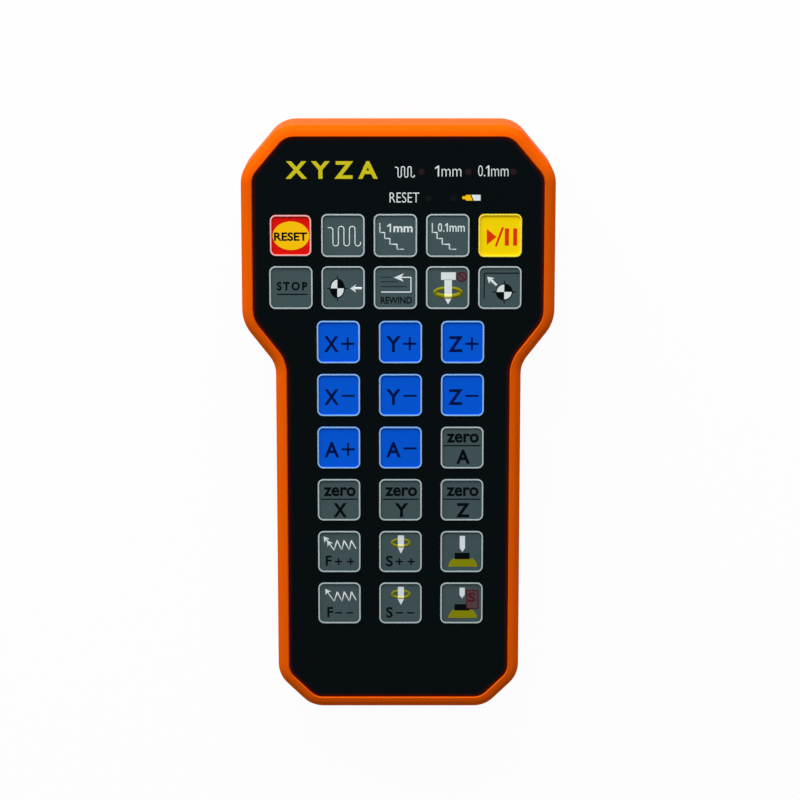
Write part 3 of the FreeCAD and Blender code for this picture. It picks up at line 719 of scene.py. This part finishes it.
def distance_label(marks, centre, size, tenth, weight):
    """1mm, or 0.1mm for a tenth, at shares of a width. The small letters are lower than the numerals."""
    zero_share, point_share, unit_share, stroke_share = 0.155, 0.19, 0.7, 0.135
    width, height = size
    left, bottom = centre[0] - width / 2, centre[1] - height / 2
    numeral, unit = ((0.26, 0.37), (0.43, 1.0)) if tenth else ((0.0, 0.155), (0.25, 1.0))
    unit_height, stroke = height * unit_share, height * (stroke_share + weight)
    unit_middle = (left + width * sum(unit) / 2, bottom + unit_height / 2)
    one(marks, left + width * numeral[0], left + width * numeral[1], bottom, bottom + height, stroke, "white")
    marks.words("mm", unit_middle, (width * (unit[1] - unit[0]), unit_height), "white", weight=weight)
    if tenth:
        zero_width, point = width * zero_share, left + width * point_share
        marks.words("0", (left + zero_width / 2, centre[1]), (zero_width, height), "white", weight=weight)
        marks.bar(point, bottom, point + stroke, bottom + stroke, "white")


def reset_legend(marks):
    marks.fill(oval((0.1, -0.1), (5.4, 4.25), steps=48), "sun_yellow")
    marks.words("RESET", (0, -0.35), (9.8, 2.55), "black", 1, weight=0.03)


def jog_legend(marks):
    wave(marks, (0.35, -0.25), 9.6, 5.8, FINE_PEN, "white")


def step_legend(marks, width, tenth):
    """Stairs that fall to the right, with the distance of one step above them."""
    stairs = [
        (-4.55, 3.7), (-4.55, 0.85), (-3.15, 0.85), (-3.15, -0.95), (-1.6, -0.95),
        (-1.6, -2.65), (0.5, -2.65), (0.5, -4.15), (2.5, -4.15),
    ]
    marks.line(stairs, 0.32, "white", corner=0.05)
    height = 2.55
    left, bottom, weight = (-2.9, 1.1, 0.008) if tenth else (-2.45, 0.95, 0.022)
    distance_label(marks, (left + width / 2, bottom + height / 2), (width, height), tenth, weight)


def start_pause_legend(marks):
    """Triangle for start, a slash, and two bars for pause."""
    bar_foot, bar_top = -3.0, 2.1
    marks.fill([(-3.95, 1.95), (-3.95, -2.8), (-1.1, -0.4)], "red")
    marks.line([(0.75, 2.4), (-1.3, -3.2)], 0.6, "red")
    marks.bar(1.35, bar_foot, 2.55, bar_top, "red")
    marks.bar(3.8, bar_foot, 4.95, bar_top, "red")


def stop_legend(marks):
    marks.words("STOP", (0.3, 0.4), (9.0, 2.6), "black", weight=0.035, spacing=1.35)
    marks.line([(-4.2, -2.0), (4.9, -2.0)], 0.36, "black")


def origin_legend(marks):
    datum_target(marks, (-1.73, -0.23), (2.05, 2.75), (3.05, 3.8))
    marks.arrow([(5.5, -0.28), (2.05, -0.28)], 0.8, 1.75, 1.2, "white")


def rewind_legend(marks):
    """Dashed lines of a program, an arrow that goes back to the first of them, and the word under it."""
    left, dash, dash_pitch = -4.2, 0.42, 0.62
    for y, right in ((3.1, -0.9), (1.75, 1.3), (0.3, 3.6)):
        for i in range(int((right - left) / dash_pitch)):
            x = left + i * dash_pitch
            marks.line([(x, y), (x + dash, y)], FINE_PEN, "black")
    path = [(left, -1.4), (4.6, -1.4), (4.6, 3.0), (-0.45, 3.0)]
    marks.arrow(path, 0.36, 2.9, 1.25, "white", 1)
    marks.words("REWIND", (0.25, -3.8), (9.2, 2.05), "black", weight=0.02)


def spindle_stop_legend(marks):
    marks.bar(-1.95, 2.3, 2.4, 4.55, "white", 1)
    cutting_tool(marks, -0.95, 1.25, 2.4, -3.0, -5.05)
    turning_ring(marks, (0.15, -1.4), (3.85, 1.25), 1.0, 1.4, 1.1)
    stop_sign, sign_pen = (4.15, 3.25), 0.35
    marks.fill(oval(stop_sign, (1.5, 1.5)), "dull_red")
    marks.line(oval(stop_sign, (1.35, 1.35)), sign_pen, "dark_red", 1, closed=True)
    marks.line([(3.2, 4.2), (5.1, 2.3)], sign_pen, "dark_red", 1)


def corner_origin_legend(marks):
    marks.line([(5.6, 4.3), (-4.6, 4.3), (-4.6, -3.3)], FINE_PEN, "black")
    marks.arrow([(-1.0, 0.65), (-3.75, 3.25)], 0.75, 1.9, 1.2, "white")
    datum_target(marks, (1.3, -1.3), (2.35, 2.35), (3.4, 3.4))


def axis_legend(marks, letter, sign):
    sign_size = 3.9
    marks.words(letter, (-2.1, -0.65), (4.3, 4.75), "navy", weight=0.02)
    if sign == "+":
        plus(marks, (2.75, -0.55), sign_size, 0.6, "navy")
    else:
        minus(marks, (2.85, -0.25), sign_size, 0.55, "navy")


def zero_legend(marks, letter, lift=0.0):
    """The word zero over a line and an axis letter, raised by the lift."""
    marks.words("zero", (0.15, 2.45 + lift), (9.6, 2.8), "black", weight=0.026)
    marks.line([(-5.45, 0.15 + lift), (5.5, 0.15 + lift)], 0.34, "black")
    marks.words(letter, (0.3, -3.25 + lift), (4.1, 4.35), "black", weight=0.03)


def signed_letter(marks, letter, box, sign, places):
    """Letter that fills a box, with two signs after it."""
    sign_level, sign_size, sign_pen = -3.15, 2.1, 0.42
    left, bottom, right, top = box
    size = (right - left, top - bottom)
    marks.words(letter, ((left + right) / 2, (bottom + top) / 2), size, "black", weight=0.02)
    draw = plus if sign == "+" else minus
    for x in places:
        draw(marks, (x, sign_level), sign_size, sign_pen, "black")


def feed_legend(marks, sign):
    """Zigzag travel with one arrowhead for slower and two for faster."""
    pen, head_length, head_half, corner, letter_width = 0.34, 1.7, 1.0, 0.06, 1.75
    zigzag = [
        (5.0, 0.8), (3.6, 3.4), (3.0, 0.4), (1.45, 3.4), (0.75, 0.4), (-0.65, 3.4), (-1.6, 0.4),
    ]
    faster = sign == "+"
    tip = (-4.7, 4.65) if faster else (-4.3, 4.35)
    marks.arrow(zigzag + [tip], pen, head_length, head_half, "white", corner=corner)
    if faster:
        marks.arrow([zigzag[-1], (-3.65, 3.4)], pen, head_length, head_half, "white", 1)
    letter_left = -4.1 if faster else -3.7
    places = (-0.25, 3.4) if faster else (-0.3, 3.1)
    signed_letter(marks, "F", (letter_left, -4.5, letter_left + letter_width, -1.35), sign, places)


def spindle_legend(marks, sign):
    """Tool in a ring that shows its turning, over a letter and the signs for slower or faster."""
    cutting_tool(marks, -0.8, 1.05, 4.95, 1.2, -0.7)
    turning_ring(marks, (0.1, 2.65), (2.6, 1.05), 0.8, 0.85, 0.93)
    places = (-0.35, 3.2) if sign == "+" else (-0.3, 3.1)
    signed_letter(marks, "S", (-4.35, -4.65, -2.35, -1.35), sign, places)


def tool_set_legend(marks, second):
    """Tool above a black touch block on its foot, with a marked box for the second offset."""
    if second:
        cutting_tool(marks, -0.6, 1.0, 4.7, 2.5, 1.35)
        left, bottom, right, top = 1.5, -1.7, 5.0, 3.95
        marks.bar(left, bottom, right, top, "dull_red", 2)
        rim = [(left, bottom), (right, bottom), (right, top), (left, top)]
        marks.line(rim, FINE_PEN, "dark_red", 3, closed=True)
        marks.words("S", (3.05, 1.7), (2.3, 2.9), "dark_red", 3, weight=0.02)
    else:
        cutting_tool(marks, -0.6, 1.0, 4.8, 1.0, -0.15)
    marks.bar(-2.1, -2.4, 2.4, -0.45, "black", 1)
    marks.fill([(-4.05, -4.75), (4.8, -4.75), (4.4, -3.4), (3.4, -2.2), (-2.6, -2.2), (-3.7, -3.4)], "olive")


LEGENDS = {
    "reset": (reset_legend,),
    "continuous_jog": (jog_legend,),
    "step_coarse": (step_legend, 7.5, False),
    "step_fine": (step_legend, 7.9, True),
    "start_pause": (start_pause_legend,),
    "stop": (stop_legend,),
    "go_to_origin": (origin_legend,),
    "rewind": (rewind_legend,),
    "spindle_stop": (spindle_stop_legend,),
    "corner_origin": (corner_origin_legend,),
    "x_plus": (axis_legend, "X", "+"),
    "y_plus": (axis_legend, "Y", "+"),
    "z_plus": (axis_legend, "Z", "+"),
    "x_minus": (axis_legend, "X", "-"),
    "y_minus": (axis_legend, "Y", "-"),
    "z_minus": (axis_legend, "Z", "-"),
    "a_plus": (axis_legend, "A", "+"),
    "a_minus": (axis_legend, "A", "-"),
    "zero_a": (zero_legend, "A", 0.42),
    "zero_x": (zero_legend, "X"),
    "zero_y": (zero_legend, "Y"),
    "zero_z": (zero_legend, "Z"),
    "feed_up": (feed_legend, "+"),
    "spindle_up": (spindle_legend, "+"),
    "tool_set": (tool_set_legend, False),
    "feed_down": (feed_legend, "-"),
    "spindle_down": (spindle_legend, "-"),
    "tool_set_second": (tool_set_legend, True),
}


def border_key(key, centre, size, slot):
    """Pale ridge on the frame that is moulded round the pad of one key."""
    height = BORDER_RISE + BORDER_BED
    carrier = bpy.data.meshes.new("border_" + key)
    values = {
        "Size": size + 2 * BORDER_OVERHANG - BORDER_FOOT_WIDTH,
        "Corner Radius": KEY_CORNER_RADIUS + BORDER_OVERHANG - BORDER_FOOT_WIDTH / 2,
        "Foot Width": BORDER_FOOT_WIDTH,
        "Crown Width": BORDER_CROWN_WIDTH,
        "Height": height,
        "Edge Radius": BORDER_EDGE_RADIUS,
        "Material": BORDERS[slot],
    }
    mesh = grow(KEY_BORDER, carrier, values)
    lift = Matrix.Translation((0, 0, KEY_FRAME_HEIGHT + height / 2 - BORDER_BED))
    close(mesh, SAME_MARK)
    mesh.shade_smooth()
    mesh.transform(Matrix.Translation(centre) @ Matrix.Scale(MM, 4) @ lift)
    place_piece("border_" + key, mesh, "key_" + key)


def print_keys():
    """Border and legend of each key."""
    for key, (draw, *details) in LEGENDS.items():
        node = "key_" + key
        low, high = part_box(node)
        middle = (low + high) / 2
        pad = Vector((middle.x, middle.y, high.z - KEY_FRAME_HEIGHT * MM))
        border_key(key, pad, (high.x - low.x) / MM, SLOTS[node])
        marks = Marks("legend_" + key)
        draw(marks, *details)
        marks.lay(node, pad)


def battery_sign(marks, centre, length, height):
    """Cell on its side, half full: a yellow part with its button, and a white part past a slanted split."""
    left, y, half = centre[0] - length / 2, centre[1], height / 2
    button, shoulder, neck = left + length * 0.14, left + length * 0.224, half * 0.5
    split_foot, split_top, gap = left + length * 0.57, left + length * 0.43, length * 0.06
    full = [
        (left, y - neck), (button, y - neck), (shoulder, y - half), (split_foot, y - half),
        (split_top, y + half), (shoulder, y + half), (button, y + neck), (left, y + neck),
    ]
    empty = [
        (split_foot + gap, y - half), (left + length, y - half),
        (left + length, y + half), (split_top + gap, y + half),
    ]
    marks.fill(full, "sun_yellow")
    marks.fill(empty, "white")


def print_face():
    """Marks beside the lamps, a row of plain axis letters, and a battery sign, on the face sheet."""
    marks = Marks("face_print")
    label_height, label_weight = 3.2, -0.01
    wave(marks, (1.9, 74.9), 5.7, 3.1, FINE_PEN, "white")
    distance_label(marks, (14.6, 75.2), (7.7, label_height), False, label_weight)
    distance_label(marks, (27.8, 75.25), (8.9, label_height), True, label_weight)
    marks.words("RESET", (1.8, 67.4), (8.7, 3.0), "white", weight=-0.008)
    marks.words("X Y Z A", (-19.5, 75.5), (27.0, 5.2), "print_yellow", weight=0.03)
    battery_sign(marks, (21.45, 67.34), 5.3, 1.7)
    _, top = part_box("face_sheet")
    marks.lay("case", Vector((0, 0, top.z)))


def at_height(vertices, height):
    """The points that lie at a height in millimetres."""
    tolerance = 0.02 * MM
    return [vertex for vertex in vertices if abs(vertex.co.z - height * MM) < tolerance]


def corner_keys(mesh):
    """Each face corner by its own place and the middle of its face, to a thousandth of a millimetre."""
    places = 6
    keys = []
    for face in mesh.polygons:
        for vertex in face.vertices:
            values = (*mesh.vertices[vertex].co, *face.center)
            keys.append(tuple(round(value, places) for value in values))
    return keys


def merge_triangles(mesh):
    """Merges the loose triangles of a copied CAD mesh, and gives each corner the shading that it had."""
    shading = [corner.vector.copy() for corner in mesh.corner_normals]
    kept = dict(zip(corner_keys(mesh), shading))
    close(mesh, SAME_PLACE)
    flat = [face.normal.copy() for face in mesh.polygons for _ in face.vertices]
    mesh.normals_split_custom_set([kept.get(key, own) for key, own in zip(corner_keys(mesh), flat)])


def trim_rib_ends():
    """Rear shell with the ends of its ribs drawn back into the rounded edge, which they stand out of."""
    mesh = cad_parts["rear_shell"].data.copy()
    mesh.name = "rear_shell_trimmed"
    meetings = [vertex.co.copy() for vertex in at_height(mesh.vertices, RIB_MEETING)]
    for vertex in at_height(mesh.vertices, RIB_FOOT):
        nearest = min(meetings, key=lambda place: (place.xy - vertex.co.xy).length)
        if (nearest.xy - vertex.co.xy).length < RIB_END_REACH * MM:
            vertex.co = nearest
    merge_triangles(mesh)
    piece = place_piece("rear_shell_trimmed", mesh, "case")
    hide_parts("rear_shell")


def outer_edge(node):
    """Points of the outermost edge of a flat sheet's top face, in metres, in order from its lowest corner."""
    upright = 0.9
    shape = bmesh.new()
    shape.from_mesh(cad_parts[node].data)
    bmesh.ops.remove_doubles(shape, verts=shape.verts, dist=SAME_PLACE)
    shape.normal_update()
    top = {face for face in shape.faces if face.normal.z > upright}
    rims = {edge for edge in shape.edges if len(top.intersection(edge.link_faces)) == 1}
    ends = (vertex for edge in rims for vertex in edge.verts)
    corner = min(ends, key=lambda vertex: (vertex.co.y, vertex.co.x))
    points, here = [], corner
    while not points or here != corner:
        points.append(here.co.xy.copy())
        edge = next(edge for edge in here.link_edges if edge in rims)
        rims.remove(edge)
        here = edge.other_vert(here)
    shape.free()
    return points


def moved_inwards(points, distance):
    """Closed line of points moved inwards by a distance."""
    count = len(points)
    turning = sum(points[i - 1].x * points[i].y - points[i].x * points[i - 1].y for i in range(count))
    side = math.copysign(distance, turning)
    moved = []
    for i in range(count):
        before = (points[i] - points[i - 1]).normalized()
        after = (points[(i + 1) % count] - points[i]).normalized()
        along = (before + after).normalized()
        across = Vector((-along.y, along.x))
        moved.append(points[i] + across * side / along.dot(before))
    return moved


def paint_rim_reflection():
    """Thin band on the face sheet along the rim with a painted reflection of it, dark red at the rim and
    fading to the film's black.
    """
    edge = outer_edge("face_sheet")
    _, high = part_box("face_sheet")
    low, top = high.z - INK_BED * MM, high.z + INK_BED * MM
    rings = [(0.0, low)] + [(step / RIM_REFLECTION_STEPS, top) for step in range(RIM_REFLECTION_STEPS + 1)] + [(1.0, low)]
    # Each ring's share of the painted rim reflection, 1 at the rim and fading inwards
    corners, reflection_shares = [], []
    for share, height in rings:
        for point in moved_inwards(edge, share * RIM_REFLECTION_WIDTH * MM):
            corners.append((point.x, point.y, height))
            reflection_shares.append((1 - share) ** RIM_REFLECTION_FADE)
    count, ring_count = len(edge), len(rings)
    faces = []
    for ring in range(ring_count):
        here, ahead = ring * count, (ring + 1) % ring_count * count
        for i in range(count):
            j = (i + 1) % count
            faces.append((here + i, here + j, ahead + j, ahead + i))
    mesh = bpy.data.meshes.new("film_rim_reflection")
    mesh.from_pydata(corners, [], faces)
    mesh.attributes.new("tint", "FLOAT", "POINT").data.foreach_set("value", reflection_shares)
    mesh.materials.append(film_rim_reflection())
    close(mesh, SAME_PLACE)
    place_piece("film_rim_reflection", mesh, "case")


print_keys()
print_face()
paint_rim_reflection()
trim_rib_ends()


def seen_by_eye(tree):
    """1 for rays that show a surface directly, in a mirror or through glass, and 0 for the rest."""
    path = add(tree, "ShaderNodeLightPath")
    mirrored = calculate(tree, "MAXIMUM", path["Is Glossy Ray"], path["Is Transmission Ray"])
    return calculate(tree, "MAXIMUM", path["Is Camera Ray"], mirrored)


def make_world():
    """White to the eye, and a plain even light for the object."""
    world = bpy.data.worlds.new("studio")
    bpy.context.scene.world = world
    world.use_nodes = True
    tree = world.node_tree
    white = add(tree, "ShaderNodeBackground", {"Color": WHITE, "Strength": 1.0})["Background"]
    soft = add(tree, "ShaderNodeBackground", {"Color": WHITE, "Strength": WORLD_LIGHT})["Background"]
    mixed = add(tree, "ShaderNodeMixShader", {0: seen_by_eye(tree), 1: soft, 2: white})["Shader"]
    tree.links.new(mixed, tree.nodes["World Output"].inputs["Surface"])


def make_floor():
    """Pale floor that looks white and still takes the shadow.

    It's clear from below and to rays too short to come from afar, so it doesn't hide or darken the underside.
    """
    half, drop = FLOOR_SIZE / 2, FLOOR_DROP * MM
    corners = [(-half, -half, -drop), (half, -half, -drop), (half, half, -drop), (-half, half, -drop)]
    mesh = bpy.data.meshes.new("floor")
    mesh.from_pydata(corners, [], [(0, 1, 2, 3)])
    floor = bpy.data.objects.new("floor", mesh)
    bpy.context.scene.collection.objects.link(floor)
    material = bpy.data.materials.new("white floor")
    material.use_nodes = True
    tree = material.node_tree
    tree.nodes.remove(tree.nodes["Principled BSDF"])
    matt = add(tree, "ShaderNodeBsdfDiffuse", {"Color": linear(FLOOR_COLOUR)})["BSDF"]
    white = add(tree, "ShaderNodeEmission", {"Color": WHITE, "Strength": 1.0})["Emission"]
    share = calculate(tree, "MULTIPLY", seen_by_eye(tree), FLOOR_WHITENING)
    seen = add(tree, "ShaderNodeMixShader", {0: share, 1: matt, 2: white})["Shader"]
    clear = add(tree, "ShaderNodeBsdfTransparent")["BSDF"]
    from_below = add(tree, "ShaderNodeNewGeometry")["Backfacing"]
    ray_length = add(tree, "ShaderNodeLightPath")["Ray Length"]
    short = calculate(tree, "LESS_THAN", ray_length, FLOOR_CLEARANCE * MM)
    unseen = calculate(tree, "MAXIMUM", from_below, short)
    mixed = add(tree, "ShaderNodeMixShader", {0: unseen, 1: seen, 2: clear})["Shader"]
    tree.links.new(mixed, tree.nodes["Material Output"].inputs["Surface"])
    mesh.materials.append(material)


def facing(place, target):
    """Matrix of a camera or lamp at a place that looks at a target, with +Y upwards."""
    back = (Vector(place) - Vector(target)).normalized()
    right = Vector((0, 1, 0)).cross(back).normalized()
    turn = Matrix((right, back.cross(right), back)).transposed().to_4x4()
    return Matrix.Translation(place) @ turn


def make_softbox():
    """Soft box whose power gives the wanted share of white on a flat face at the origin."""
    light = bpy.data.lights.new("head_softbox", "AREA")
    light.shape = "RECTANGLE"
    light.size, light.size_y = SOFTBOX_SIZE
    distance = Vector(SOFTBOX_PLACE).length
    slope = SOFTBOX_PLACE[2] / distance
    light.energy = SOFTBOX_SHARE * math.pi ** 2 * distance ** 2 / slope
    holder = bpy.data.objects.new("head_softbox", light)
    holder.matrix_world = facing(SOFTBOX_PLACE, (0, 0, 0))
    bpy.context.scene.collection.objects.link(holder)


def make_camera():
    camera = bpy.data.cameras.new("camera")
    camera.lens = CAMERA_LENS
    camera.sensor_width = CAMERA_SENSOR
    camera.clip_start = CAMERA_NEAREST
    holder = bpy.data.objects.new("camera", camera)
    holder.matrix_world = facing(CAMERA_PLACE, CAMERA_TARGET)
    bpy.context.scene.collection.objects.link(holder)
    bpy.context.scene.camera = holder


make_world()
make_floor()
make_softbox()
make_camera()
bpy.context.scene.view_settings.view_transform = "Standard"
